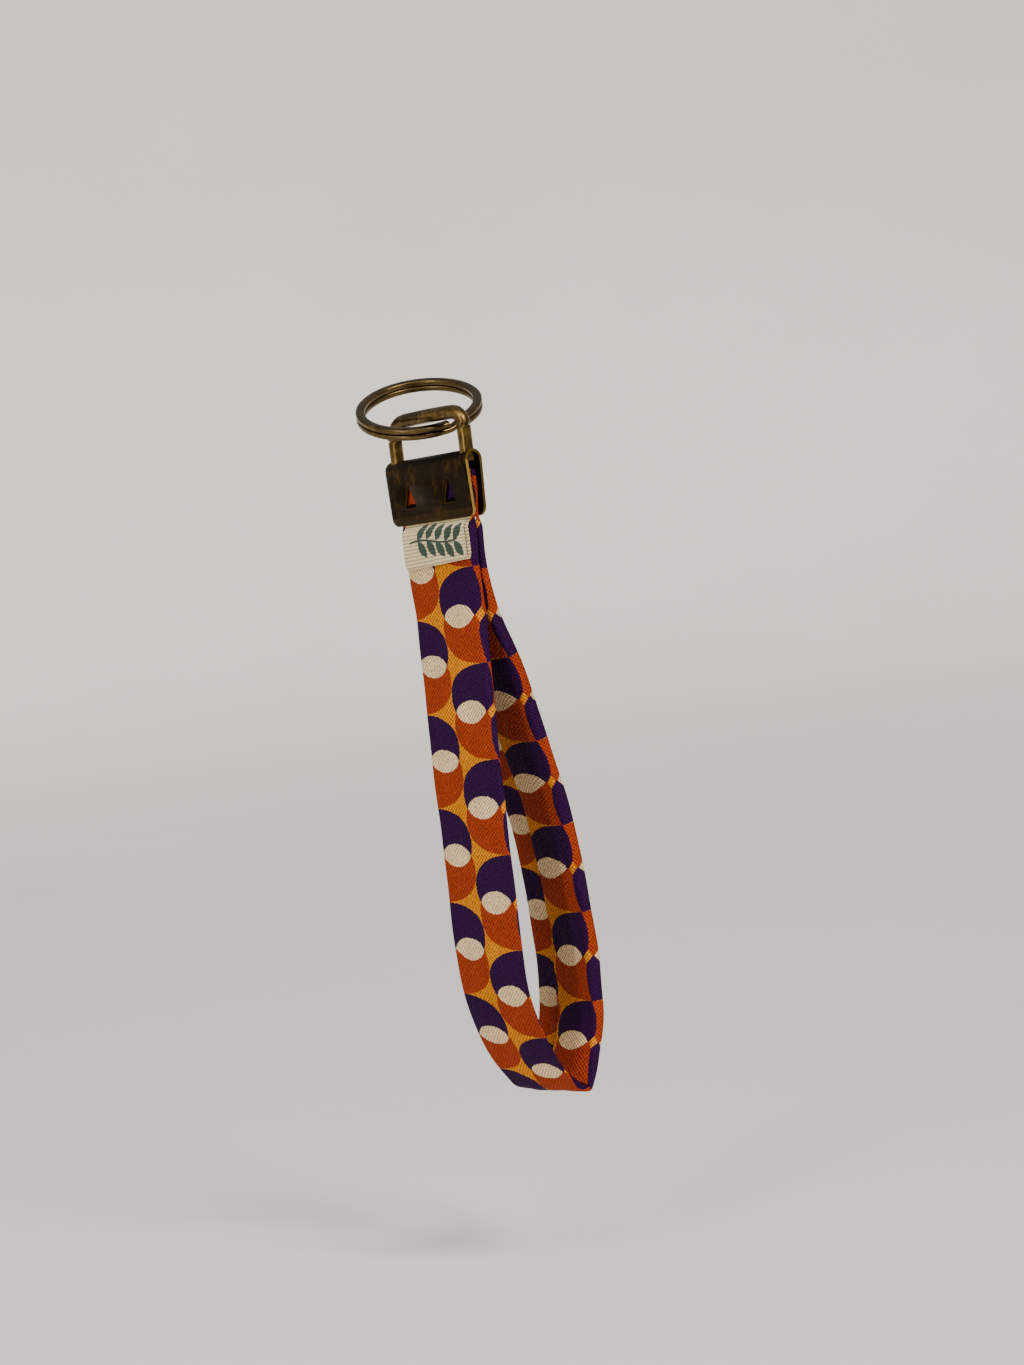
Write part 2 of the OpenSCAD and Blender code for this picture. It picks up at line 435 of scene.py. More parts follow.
@dataclass(frozen=True)
class AntiqueBrass:
    """Brass plating under a dark patina, rubbed bright where it is handled."""

    name: str
    patina: Colour
    brass: Colour
    bright: Colour = srgb(196, 158, 78)
    # near-black colour, used for random dirt specks and as painted shade inside the clamp and on its prongs
    soot_and_shade: Colour = srgb(14, 10, 7)
    rubbed: float = 0.5
    grain: tuple[float, float, float] = (1, 1, 1)
    gloss: float = 0.34

    def material(self) -> bpy.types.Material:
        """Builds the material.

        Returns:
            The finished material.
        """
        g = Graph(self.name)
        cloud = g.noise(g.place(), 260, 5, 0.62)
        speck = g.noise(g.place(), 2600, 4, 0.7)
        streak = g.noise(g.place(self.grain), 1100, 4, 0.65)
        rub = g.plus(g.times(cloud, 0.5), g.times(streak, 0.5))
        worn = g.step(rub, 0.60 - 0.25 * self.rubbed, 0.86 - 0.12 * self.rubbed)
        colour = g.mix(worn, self.patina, self.brass)
        edge = g.add("Attribute", attribute_name="wear_and_shade").outputs["Fac"]
        uneven = g.plus(speck, g.times(cloud, 0.5))
        broken = g.times(g.math("MAXIMUM", edge, 0.0), g.step(uneven, 0.42, 0.70))
        colour = g.mix(broken, colour, self.bright)
        # random dirt specks, plus painted shade where the per-face attribute is negative (the clamp's inside
        # faces and its prongs), take the near-black colour
        dirt = g.times(g.step(speck, 0.56, 0.72), 0.45)
        colour = g.mix(g.math("MAXIMUM", dirt, g.times(edge, -1.0)), colour, self.soot_and_shade)
        g.set("Base Color", colour)
        g.set("Metallic", 1.0)
        g.set("Roughness", g.plus(g.span(streak, self.gloss - 0.08, self.gloss + 0.16),
                                  g.times(g.math("ABSOLUTE", edge), 0.06)))
        normal = g.bump(streak, 0.14, 0.00005)
        g.set("Normal", g.bump(speck, 0.12, 0.00004, normal))
        return g.material


@dataclass(frozen=True)
class PrintedCotton:
    """Plain-weave cotton printed with staggered half leaves, each with a lens across its middle.

    Sizes are in millimetres. Lines of leaves run along the strap, and neighbouring lines are half a
    repeat apart. A leaf is purple on one side of its lens and rust on the other, and the two colours
    change places in the next column.
    """

    name: str = "printed_cotton"
    gold: Colour = srgb(190, 114, 0)
    purple: Colour = srgb(38, 5, 50)
    rust: Colour = srgb(138, 47, 15)
    cream: Colour = srgb(210, 180, 138)
    repeat: float = 23.7
    column: float = 28.2
    first_line: float = -15.6
    first_leaf: float = 12.0
    leaf_reach: float = 14.4
    squareness: float = 2.4
    waist: float = 3.4
    waist_dip: float = 0.9
    lens_mid: float = 7.5
    lens_near: float = 5.6
    lens_far: float = 5.7
    lens_rise: float = 2.85
    wave: float = 1.0
    diamond: tuple[float, float] = (1.25, 1.8)
    bleed: float = 0.13
    thread: float = 0.56
    weave_shade: float = 0.55
    weave_depth: float = 0.00014
    roughness: float = 0.82
    specular: float = 0.08

    def material(self) -> bpy.types.Material:
        """Builds the material.

        Returns:
            The finished material.
        """
        g = Graph(self.name)
        uv, across, along = g.cloth_axes()
        wobble = g.math("MULTIPLY_ADD", g.noise(uv, 900, 2), 0.5, -0.25)
        u = g.plus(across, wobble)
        v = g.minus(along, wobble)
        leaf = self.leaf_print(g, u, v)
        fade = g.noise(uv, 160, 4)
        fine = g.noise(uv, 1300, 5, 0.85)
        tone = g.plus(g.span(fade, 0.80, 1.16), g.span(fine, -1.5, 1.5))
        warp = g.math("SINE", g.times(across, math.pi / self.thread))
        weft = g.math("SINE", g.times(along, math.pi / self.thread))
        weave = g.times(warp, weft)
        # painted light and shade: the weave checker lightens and darkens the print thread by thread
        tone = g.plus(tone, g.times(weave, self.weave_shade))
        lit = g.add("VectorMath", operation="SCALE")
        g.plug(lit.inputs[0], leaf)
        g.plug(lit.inputs["Scale"], tone)
        g.set("Base Color", lit.outputs[0])
        g.set("Roughness", self.roughness)
        g.set("Specular IOR Level", self.specular)
        crumple = g.bump(g.noise(uv, 210, 4, 0.6), 0.35, 0.0006)
        ribs = g.bump(g.noise(uv, 2400, 2), 0.25, 0.00008, crumple)
        g.set("Normal", g.bump(weave, 0.7, self.weave_depth, ribs))
        return g.material

    def leaf_print(self, g: Graph, u: object, v: object) -> bpy.types.NodeSocket:
        """Draws the print.

        Args:
            g: The graph to build in.
            u: Distance across the cloth, in millimetres.
            v: Distance along the cloth, in millimetres.

        Returns:
            The colour of the print.
        """
        half = self.repeat / 2
        turn = g.times(g.minus(self.first_leaf, v), 2 * math.pi / self.repeat)
        t0 = g.minus(u, self.first_line - 8 * self.column)
        near = g.math("COSINE", g.times(t0, math.pi / self.column))
        swing = g.times(g.math("SINE", turn), g.power(near, 2.0))
        t = g.math("MULTIPLY_ADD", swing, self.wave, t0)
        strip = g.math("FLOOR", g.over(t, self.column))
        odd = g.math("FLOORED_MODULO", strip, 2.0)
        left_d = g.minus(t, g.times(strip, self.column))
        right_d = g.minus(self.column, left_d)
        level = g.minus(g.math("MULTIPLY_ADD", odd, half, self.first_leaf), v)
        left_y = g.math("WRAP", level, half, -half)
        right_y = g.math("WRAP", g.plus(level, half), half, -half)
        left_in = g.minus(self.leaf_edge(g, left_y), left_d)
        right_in = g.minus(self.leaf_edge(g, right_y), right_d)
        use_right = g.math("GREATER_THAN", right_in, left_in)
        d = self.choose(g, use_right, left_d, right_d)
        y = self.choose(g, use_right, left_y, right_y)
        size = g.math("ABSOLUTE", y)
        inside = g.step(g.math("MAXIMUM", left_in, right_in), -self.bleed, self.bleed)
        upper = g.step(y, -self.bleed, self.bleed)
        purple = g.math("ABSOLUTE", g.minus(upper, odd))
        colour = g.mix(purple, self.rust, self.purple)
        arc = (self.lens_near**2 + self.lens_rise**2) / (2 * self.lens_rise)
        away = g.minus(d, self.lens_mid)
        off = g.power(away, 2.0)
        bow = g.math("SQRT", g.math("MAXIMUM", g.minus(arc * arc, off), 0.0))
        pointed = g.minus(bow, arc - self.lens_rise)
        share = g.math("MAXIMUM", g.minus(1.0, g.over(off, self.lens_far**2)), 0.0)
        blunt = g.math("MULTIPLY_ADD", g.power(share, 0.55), self.lens_rise + 0.02, -0.02)
        lens = g.minus(self.choose(g, g.math("GREATER_THAN", away, 0.0), pointed, blunt), size)
        colour = g.mix(g.step(lens, -self.bleed, self.bleed), colour, self.cream)
        wide, tall = self.diamond
        spot = g.minus(1.0, g.plus(g.over(d, wide), g.over(size, tall)))
        colour = g.mix(g.step(spot, -0.08, 0.08), colour, self.gold)
        return g.mix(inside, self.gold, colour)

    def leaf_edge(self, g: Graph, y: object) -> bpy.types.NodeSocket:
        """How far a leaf reaches from its line at a height above or below its lens."""
        size = g.math("ABSOLUTE", y)
        rise = g.math("MAXIMUM", g.minus(size, self.waist), 0.0)
        share = g.math("MINIMUM", g.over(rise, self.repeat / 2 - self.waist), 1.0)
        square = g.minus(1.0, g.power(share, self.squareness))
        round_off = g.power(square, 1 / self.squareness)
        near = g.math("MAXIMUM", g.minus(1.0, g.over(size, self.waist)), 0.0)
        dip = g.times(g.power(near, 2.0), self.waist_dip)
        return g.minus(g.times(round_off, self.leaf_reach), dip)

    @staticmethod
    def choose(g: Graph, use_second: object, first: object, second: object) -> bpy.types.NodeSocket:
        """Picks one of two numbers."""
        return g.math("MULTIPLY_ADD", g.minus(second, first), use_second, first)


@dataclass(frozen=True)
class RibbedRibbon:
    """Cream ribbon with fine cross ribs, a woven edge and a small green sprig. Sizes in millimetres."""

    name: str = "ribbed_ribbon"
    cream: Colour = srgb(224, 204, 160)
    # darker cream painted into the rib troughs as shade
    painted_rib_shade: Colour = srgb(158, 134, 88)
    green: Colour = srgb(8, 46, 28)
    rib: float = 0.85
    half_width: float = 12.5
    stem_low: float = 5.3
    leaf_half: float = 2.8
    leaf_wide: float = 1.35
    leaf_angle: float = 52.0
    leaf_count: int = 5
    leaf_pitch: float = 3.5

    def material(self) -> bpy.types.Material:
        """Builds the material.

        Returns:
            The finished material.
        """
        g = Graph(self.name)
        uv, across, along = g.cloth_axes()
        rib = g.math("SINE", g.times(along, 2 * math.pi / self.rib))
        ends = g.math("SINE", g.times(across, 2 * math.pi / 0.42))
        grain = g.noise(uv, 1800, 3)
        # painted shade: the colour darkens towards the troughs between the ribs
        ground = g.mix(g.span(rib, 0.30, -0.30), self.cream, self.painted_rib_shade)
        soil = g.mix(g.times(g.noise(uv, 240, 4), 0.22), ground, srgb(206, 188, 150))
        mask = self.sprig(g, across, along, g.span(grain, -0.10, 0.10))
        g.set("Base Color", g.mix(mask, soil, self.green))
        g.set("Roughness", 0.7)
        g.set("Sheen Weight", 0.15)
        g.set("Sheen Roughness", 0.5)
        edge = g.step(g.math("ABSOLUTE", across), self.half_width - 1.3, self.half_width - 1.0)
        cord = g.times(edge, g.math("ABSOLUTE", ends))
        normal = None
        for height, strength, depth in ((rib, 0.7, 0.0002), (g.times(ends, 0.35), 0.3, 0.00008),
                                        (cord, 0.4, 0.0001), (mask, 0.5, 0.0001)):
            normal = g.bump(height, strength, depth, normal)
        g.set("Normal", normal)
        return g.material

    def sprig(self, g: Graph, across: object, along: object, ragged: object) -> bpy.types.NodeSocket:
        """Draws a stem with leaves on both sides.

        Args:
            g: The graph to build in.
            across: Distance across the ribbon from its middle.
            along: Distance down the ribbon from the clamp's lips.
            ragged: Small unevenness added to the leaves' edges.

        Returns:
            The mask of the sprig.
        """
        stem_y = g.math("MULTIPLY_ADD", g.math("SINE", g.times(across, 0.28)), 0.7, self.stem_low)
        gap = g.math("ABSOLUTE", g.minus(along, stem_y))
        reach = g.step(g.math("ABSOLUTE", across), 9.4, 9.1)
        mask = g.times(g.step(g.plus(gap, ragged), 0.34, 0.2), reach)
        point = g.add("CombineXYZ")
        g.plug(point.inputs[0], across)
        g.plug(point.inputs[1], along)
        for i in range(self.leaf_count):
            x = (i - (self.leaf_count - 1) / 2) * self.leaf_pitch
            y = self.stem_low + 0.7 * math.sin(0.28 * x)
            for side in (-1, 1):
                angle = side * math.radians(self.leaf_angle)
                reach = Vector((math.cos(angle), math.sin(angle), 0)) * self.leaf_half
                centre = Vector((x + 0.8, y, 0)) + reach
                mask = g.math("MAXIMUM", mask, self.leaf(g, point.outputs[0], centre, angle, ragged))
        return mask

    def leaf(self, g: Graph, point: object, centre: Vector, angle: float,
             ragged: object) -> bpy.types.NodeSocket:
        """One pointed leaf of the sprig."""
        local = g.add("Mapping", vector_type="TEXTURE")
        g.plug(local.inputs["Vector"], point)
        g.plug(local.inputs["Location"], centre)
        g.plug(local.inputs["Rotation"], (0, 0, angle))
        g.plug(local.inputs["Scale"], (self.leaf_half, self.leaf_wide, 1))
        split = g.add("SeparateXYZ")
        g.plug(split.inputs[0], local.outputs[0])
        body = g.minus(1.0, g.power(split.outputs[0], 2.0))
        inside = g.minus(body, g.math("ABSOLUTE", split.outputs[1]))
        return g.step(g.plus(inside, ragged), 0.0, 0.14)


@dataclass(frozen=True)
class PlainFinish:
    """A quiet matt finish with a little unevenness, for thread and the floor."""

    name: str
    colour: Colour
    scale: float
    depth: float
    roughness: float = 0.8

    def material(self) -> bpy.types.Material:
        """Builds the material.

        Returns:
            The finished material.
        """
        g = Graph(self.name)
        cloud = g.noise(g.place(), self.scale, 3)
        darker = tuple(c * 0.9 for c in self.colour)
        g.set("Base Color", g.mix(cloud, darker, self.colour))
        g.set("Roughness", self.roughness)
        g.set("Normal", g.bump(cloud, 0.3, self.depth))
        return g.material


# ---------------------------------------------------------------- metal pieces


@dataclass
class KeyRing:
    """The split ring: two turns of half-round wire, pressed together, with a step between them."""

    outer: float = 16.0
    wire: float = 2.3
    coil: float = 1.5
    gap: float = 0.1
    centre: tuple[float, float, float] = (-10.1, 6.1, 3.0)
    tilt: tuple[float, float] = (17.3, 21.2)
    step_at: float = 2.0
    step_half: float = 11.0
    finish: AntiqueBrass = field(
        default_factory=lambda: AntiqueBrass(
            "ring_brass", srgb(84, 68, 42), srgb(140, 114, 68),
            rubbed=0.6, grain=(0.35, 0.35, 2), gloss=0.26))

    def section(self) -> list[tuple[float, float]]:
        """Outline of one coil: rounded outside, flatter inside."""
        outline = []
        for c, s in ring_points(1, 20):
            power = 0.62 if c > 0 else 0.42
            x = math.copysign(abs(c) ** power, c) * self.wire / 2
            z = math.copysign(abs(s) ** 0.72, s) * self.coil / 2
            outline.append((x * MM, z * MM))
        return outline

    def path(self) -> list[Vector]:
        """Centre line of the wire, lying flat about the origin."""
        radius = self.outer - self.wire / 2
        lift = (self.coil + self.gap) / 2
        start, end = self.step_at + self.step_half, self.step_at + 720 - self.step_half
        points = []
        for angle in spread(start, end, 300):
            from_step = angle - (self.step_at + 360)
            z = lift * (2 * ease(from_step / (2 * self.step_half) + 0.5) - 1)
            a = math.radians(angle)
            points.append(Vector((radius * math.cos(a), radius * math.sin(a), z)) * MM)
        return points

    def build(self) -> bpy.types.Object:
        """Builds the ring, tilts it and hangs it on the bail.

        Returns:
            The finished piece.
        """
        ring = swept_wire("split_ring", self.path(), self.section())
        tilt_x, tilt_y = (math.radians(a) for a in self.tilt)
        turn = Matrix.Rotation(tilt_y, 4, "Y") @ Matrix.Rotation(tilt_x, 4, "X")
        ring.matrix_world = Matrix.Translation(Vector(self.centre) * MM) @ turn
        bake_place(ring)
        shade(ring, 50)
        dress(ring, self.finish.material())
        return declare(ring, "ring_metal", "key_ring", body=Body.RING)


@dataclass
class Bail:
    """The wire bail: a staple bent from round wire, its feet inside the clamp."""

    wire: float = 3.5
    pitch: float = 27.4
    left_corner: float = 4.3
    right_corner: float = 3.5
    bow: float = 0.25
    foot: float = -12.4
    finish: AntiqueBrass = field(
        default_factory=lambda: AntiqueBrass(
            "bail_brass", srgb(82, 64, 34), srgb(156, 126, 66),
            rubbed=0.7, grain=(0.6, 2.2, 0.5), gloss=0.27))

    def path(self) -> list[Vector]:
        """Centre line of the wire from the left foot to the right foot."""
        half = self.pitch / 2
        left, right = self.left_corner, self.right_corner
        points = [(-half, z) for z in spread(self.foot, -left - 0.2, 12)]
        points += [(-half + left - left * math.cos(a), -left + left * math.sin(a))
                   for a in spread(0, math.pi / 2, 12)]
        points += [(x, self.bow * (1 - (x / half) ** 2))
                   for x in spread(-half + left + 0.8, half - right - 0.8, 16)]
        points += [(half - right + right * math.sin(a), -right + right * math.cos(a))
                   for a in spread(0, math.pi / 2, 12)]
        points += [(half, z) for z in spread(-right - 0.2, self.foot, 12)]
        return [Vector((x, 0, z)) * MM for x, z in points]

    def build(self) -> bpy.types.Object:
        """Builds the bail.

        Returns:
            The finished piece.
        """
        bail = swept_wire("wire_bail", self.path(), ring_points(self.wire / 2 * MM, 24))
        shade(bail, 50)
        dress(bail, self.finish.material())
        return declare(bail, "bail_metal", "bail", body=Body.HEAD)


@dataclass
class Clamp:
    """The sheet clamp: a punched blank, folded over an arch, with crimped lips and bent prongs."""

    lips: float
    height: float
    width: float = 32.0
    sheet: float = 0.75
    arch_r: float = 2.6
    crease_z: float = 2.2
    crease_half: float = 2.15
    mouth_half: float = 1.85
    corner: float = 2.0
    hole_x: float = 13.7
    hole_r: float = 1.9
    prong_x: float = 7.8
    prong_z: float = 4.1
    prong_w: float = 4.7
    prong_h: float = 6.2
    prong_tip: float = 0.9
    prong_length: float = 3.3
    prong_sheet: float = 0.55
    prong_bend: float = 42.0
    edge: float = 0.14
    finish: AntiqueBrass = field(
        default_factory=lambda: AntiqueBrass(
            "clamp_brass", srgb(31, 21, 8), srgb(88, 64, 26),
            rubbed=0.5, grain=(0.6, 0.6, 0.3), gloss=0.36))

    def __post_init__(self) -> None:
        """Works out the folded lengths of the blank."""
        self.arch_z = self.height - self.arch_r
        self.mid_r = self.arch_r - self.sheet / 2
        self.arch_run = math.pi / 2 * self.mid_r
        self.wall = Vector((self.crease_half - self.arch_r, self.crease_z - self.arch_z))
        self.lip = Vector((self.mouth_half - self.crease_half, -self.crease_z))
        self.half_length = self.arch_run + self.wall.length + self.lip.length

    def blank(self) -> bpy.types.Object:
        """The flat blank with rounded corners, holes and triangular windows.

        Returns:
            The punched blank, centred, with its length along Y.
        """
        bpy.ops.object.select_all(action="DESELECT")
        bpy.ops.mesh.primitive_cube_add(size=1)
        blank = bpy.context.object
        blank.name = "sheet_clamp"
        blank.scale = (self.width * MM, 2 * self.half_length * MM, self.sheet * MM)
        bake_place(blank)
        self.round_corners(blank)
        for x in (-self.hole_x, self.hole_x):
            bpy.ops.mesh.primitive_cylinder_add(vertices=40, radius=self.hole_r * MM, depth=4 * MM,
                                                location=(x * MM, 0, 0))
            self.punch(blank, bpy.context.object)
        base = self.arch_run + self.arch_z - self.prong_z
        for x in (-self.prong_x, self.prong_x):
            for side in (-1, 1):
                self.punch(blank, self.window_punch(x, side * base, -side))
        apply_modifier(blank, "BEVEL", width=self.edge * MM, segments=2, limit_method="ANGLE",
                       angle_limit=math.radians(40))
        return blank

    def round_corners(self, blank: bpy.types.Object) -> None:
        """Rounds the blank's four corners, seen flat."""
        select_edges(blank, lambda a, b: abs(a.z - b.z) > self.sheet * MM / 2)
        bpy.ops.mesh.bevel(offset=self.corner * MM, segments=10, profile=0.5)
        bpy.ops.object.mode_set(mode="OBJECT")

    def window_punch(self, x: float, base: float, towards: int) -> bpy.types.Object:
        """A triangular punch whose base lies at the height given and whose tip points to the arch."""
        bpy.ops.object.select_all(action="DESELECT")
        bpy.ops.mesh.primitive_cylinder_add(vertices=3, radius=1, depth=4 * MM)
        punch = bpy.context.object
        for vertex in punch.data.vertices:
            tip = vertex.co.y > 0.5
            vertex.co.x = 0 if tip else math.copysign(self.prong_w / 2 * MM, vertex.co.x)
            vertex.co.y = towards * (self.prong_h * MM if tip else 0)
        punch.location = (x * MM, base * MM, 0)
        bake_place(punch)
        tidy_shell(punch)
        return punch

    @staticmethod
    def punch(blank: bpy.types.Object, tool: bpy.types.Object) -> None:
        """Cuts a tool's shape out of the blank and removes the tool."""
        apply_modifier(blank, "BOOLEAN", operation="DIFFERENCE", object=tool, solver="EXACT")
        bpy.data.objects.remove(tool, do_unlink=True)

    def mark_edges(self, blank: bpy.types.Object) -> None:
        """Stores on each face how worn its plating is: bright on the side edges, and painted shade in a
        near-black colour on the inside faces.
        """
        wear_and_shade = blank.data.attributes.new("wear_and_shade", "FLOAT", "FACE")
        for face in blank.data.polygons:
            side = abs(face.center.x) > (self.width / 2 - self.corner) * MM
            inside, cut = face.normal.z < -0.6, abs(face.normal.z) < 0.98
            front = face.center.y < -(self.arch_run + 0.5) * MM
            worn = 0.9 if side and front else 0.25
            on_lip = abs(face.center.y) > (self.half_length - self.lip.length) * MM
            # the inside faces get -0.5, which paints them near-black as shade
            wear_and_shade.data[face.index].value = -0.5 if inside else worn if cut else 0.03 if on_lip else 0.0

    def score(self, blank: bpy.types.Object) -> None:
        """Cuts lines across the blank where it will bend."""
        pick(blank)
        lines = spread(-self.arch_run, self.arch_run, 21)
        crease = self.arch_run + self.wall.length
        for side in (-1, 1):
            lines += [side * (crease + d) for d in (-0.5, -0.25, 0, 0.25, 0.5)]
            lines += [side * (self.arch_run + d) for d in (2.5, 5.0, 7.5)]
        bpy.ops.object.mode_set(mode="EDIT")
        for y in lines:
            bpy.ops.mesh.select_all(action="SELECT")
            bpy.ops.mesh.bisect(plane_co=(0, y * MM, 0), plane_no=(0, 1, 0))
        bpy.ops.object.mode_set(mode="OBJECT")

    def fold_point(self, x: float, s: float, h: float) -> Vector:
        """Where a point of the blank lies once the sheet is folded.

        Args:
            x: Place across the clamp.
            s: Place along the blank, from the top of the arch.
            h: Height above the sheet's middle, positive outwards.

        Returns:
            The folded place, in millimetres above the lips.
        """
        side, run = math.copysign(1, s), abs(s)
        if run < self.arch_run:
            a = run / self.mid_r
            r = self.mid_r + h
            return Vector((x, side * r * math.sin(a), self.arch_z + r * math.cos(a)))
        run -= self.arch_run
        in_lip = ease((run - self.wall.length) / 0.8 + 0.5)
        along_wall, along_lip = self.wall.normalized(), self.lip.normalized()
        wall_run, lip_run = min(run, self.wall.length), max(0.0, run - self.wall.length)
        place = Vector((self.mid_r, self.arch_z)) + along_wall * wall_run + along_lip * lip_run
        along = along_wall.lerp(along_lip, in_lip).normalized()
        place += Vector((-along.y, along.x)) * h
        return Vector((x, side * place.x, place.y))

    def prong(self, x: float, side: int) -> bpy.types.Object:
        """One triangular prong, bent in from the base of its window."""
        bpy.ops.object.select_all(action="DESELECT")
        bpy.ops.mesh.primitive_cube_add(size=1)
        prong = bpy.context.object
        for vertex in prong.data.vertices:
            top = vertex.co.z > 0
            vertex.co.x *= (self.prong_tip if top else self.prong_w - 0.25) * MM
            vertex.co.y *= self.prong_sheet * MM
            vertex.co.z = (self.prong_length if top else -0.15) * MM
        apply_modifier(prong, "BEVEL", width=0.12 * MM, segments=2)
        wall_y = self.crease_half + (self.arch_r - self.crease_half) * (self.prong_z - self.crease_z) / (
            self.arch_z - self.crease_z)
        prong.rotation_euler = (side * math.radians(self.prong_bend), 0, 0)
        prong.location = (x * MM, side * (wall_y - self.sheet * 0.55) * MM, (self.lips + self.prong_z) * MM)
        bake_place(prong)
        # painted shade: every face of the prong gets -0.6, which paints it near-black, as it lies in shade
        # behind its window
        wear_and_shade = prong.data.attributes.new("wear_and_shade", "FLOAT", "FACE")
        wear_and_shade.data.foreach_set("value", [-0.6] * len(prong.data.polygons))
        return prong

    def build(self) -> bpy.types.Object:
        """Punches, folds and finishes the clamp.

        Returns:
            The finished piece.
        """
        clamp = self.blank()
        self.score(clamp)
        self.mark_edges(clamp)
        for vertex in clamp.data.vertices:
            folded = self.fold_point(vertex.co.x / MM, vertex.co.y / MM, vertex.co.z / MM)
            vertex.co = (folded + Vector((0, 0, self.lips))) * MM
        prongs = [self.prong(x, side) for x in (-self.prong_x, self.prong_x) for side in (-1, 1)]
        pick(clamp)
        for prong in prongs:
            prong.select_set(True)
        bpy.ops.object.join()
        tidy_shell(clamp, merge=1e-7, fill=False)
        shade(clamp, 32)
        dress(clamp, self.finish.material())
        return declare(clamp, "clamp_metal", "clamp", body=Body.HEAD)


# ---------------------------------------------------------------- soft pieces


@dataclass
class LoopOutline:
    """The strap's outer face seen from its edge, in (y, z) millimetres, from one clamped end to the other."""

    lips: float
    flex: float
    bottom: float
    top: float = -14.4
    front: float = -1.70
    back: float = 2.20
    depth: float = 25.6
    thickness: float = 3.6
    front_arcs: tuple = ((54.0, 38.0), (5.6, 47.0))
    fold_arc: tuple = (1.2, 58.5)
    back_arc: tuple = (39.5, 36.5)
    rise: float = 6.0
    lean: float = 22.5
    neck: float = 60.0
    step: float = 0.4
    front_grip: tuple = (-1.25, -0.66, 5.5, 4.5)
    back_grip: tuple = (1.72, 1.04, 7.0, 6.5)
    edge_stops: tuple = ((0, 3.6), (14, 3.6), (38, 2.5), (60, 1.5), (85, 0.9), (105, 0.5), (146, 0.5),
                         (170, 3.5))
    bulge_stops: tuple = ((0, 0), (20, 0), (60, 0.35), (105, 0.2), (128, -0.3), (144, -0.5), (152, 0),
                          (162, 0.2), (175, 0.8), (190, 1.4), (228, 1.5), (246, 0.8), (268, 1.4), (290, 0.4),
                          (300, 0))

    def __post_init__(self) -> None:
        """Draws the outline and measures along it."""
        mouth, drop = self.back - self.front, self.flex - self.bottom
        long_arc = (self.depth - mouth) / (1 - math.cos(math.radians(self.lean))) - self.neck
        arcs = [*self.front_arcs, self.fold_arc, self.back_arc, (0.0, self.rise),
                (long_arc, self.lean), (self.neck, -self.lean)]
        heading, across, headings = 0.0, 0.0, []
        for radius, turn in arcs:
            headings.append(heading)
            if radius:
                move = self.arc_move(radius, turn, heading)
                heading += turn
            else:
                move = (math.sin(math.radians(heading)) * turn, -math.cos(math.radians(heading)) * turn)
            across += move[0]
        self.base = mouth - across
        low = sum(self.arc_move(r, t, h)[1] for (r, t), h in zip(arcs[:2], headings[:2]))
        ends = spread(self.top, self.flex, 36)
        self.points = [(self.leg_y(z, self.front_grip, self.front), z) for z in ends[:-1]]
        self.straight(0.0, drop + low, (self.front, self.flex))
        for i, ((radius, turn), heading) in enumerate(zip(arcs, headings)):
            if i == 2:
                self.straight(heading, self.base, self.points[-1])
            if radius:
                self.arc(radius, turn, heading)
            else:
                self.straight(heading, turn, self.points[-1])
        self.straight(180.0, self.flex - self.points[-1][1], self.points[-1])
        self.points += [(self.leg_y(z, self.back_grip, self.back), z) for z in ends[-2::-1]]
        self.measure()

    @staticmethod
    def arc_move(radius: float, turn: float, heading: float) -> tuple[float, float]:
        """Sideways and upward move along an arc that starts with the heading given, in degrees."""
        h, e = math.radians(heading), math.radians(heading + turn)
        sign = math.copysign(1, turn) * radius
        return sign * (math.cos(h) - math.cos(e)), sign * (math.sin(h) - math.sin(e))

    def straight(self, heading: float, length: float, start: tuple[float, float]) -> None:
        """Adds a straight run."""
        h = math.radians(heading)
        count = max(2, int(abs(length) / self.step))
        for d in spread(0, length, count)[(0 if not self.points or start != self.points[-1] else 1):]:
            self.points.append((start[0] + math.sin(h) * d, start[1] - math.cos(h) * d))

    def arc(self, radius: float, turn: float, heading: float) -> None:
        """Adds an arc after the last point."""
        y, z = self.points[-1]
        count = max(8, int(radius * math.radians(abs(turn)) / self.step))
        for part in spread(0, turn, count)[1:]:
            dy, dz = self.arc_move(radius, part, heading)
            self.points.append((y + dy, z + dz))

    def leg_y(self, z: float, grip: tuple, free: float) -> float:
        """Outer face of a leg, inside the clamp and just below it.

        Args:
            z: Height, in millimetres.
            grip: Place above and at the lips, and where above the lips the squeeze starts and over what run.
            free: Place at the hinge line.

        Returns:
            The face's place along Y, in millimetres.
        """
        inside = lerp(grip[0], grip[1], ease((self.lips + grip[2] - z) / grip[3]))
        return lerp(inside, free, ease((self.lips + 0.3 - z) / (self.lips + 0.3 - self.flex)))

    def measure(self) -> None:
        """Stores the run and the leg's thickness at each point."""
        self.run = [0.0]
        for (ya, za), (yb, zb) in zip(self.points, self.points[1:]):
            self.run.append(self.run[-1] + math.hypot(yb - ya, zb - za))
        low = min(range(len(self.points)), key=lambda i: self.points[i][1])
        lips = next(i for i, p in enumerate(self.points) if p[1] <= self.lips)
        self.run = [r - self.run[lips] for r in self.run]
        self.low_run = self.run[low]
        back_lips = next(i for i in range(low, len(self.points)) if self.points[i][1] >= self.lips)
        self.back_lips = self.run[back_lips]
        front, back = self.points[:low], self.points[low:]
        self.thick = []
        for i, (y, z) in enumerate(self.points):
            other = self.side_y(back if i < low else front, z)
            gap = abs(other - y) if z > -140 else 99.0
            self.thick.append(min(self.thickness, 0.49 * gap))

    @staticmethod
    def side_y(side: list[tuple[float, float]], z: float) -> float:
        """Where a side of the loop lies at a height."""
        return min(side, key=lambda p: abs(p[1] - z))[0]

    @staticmethod
    def between(stops: tuple, run: float) -> float:
        """Smoothly joined value of (run, value) stops at a run along the strap."""
        for (ra, va), (rb, vb) in zip(stops, stops[1:]):
            if run < rb:
                return lerp(va, vb, ease((run - ra) / (rb - ra)))
        return stops[-1][1]

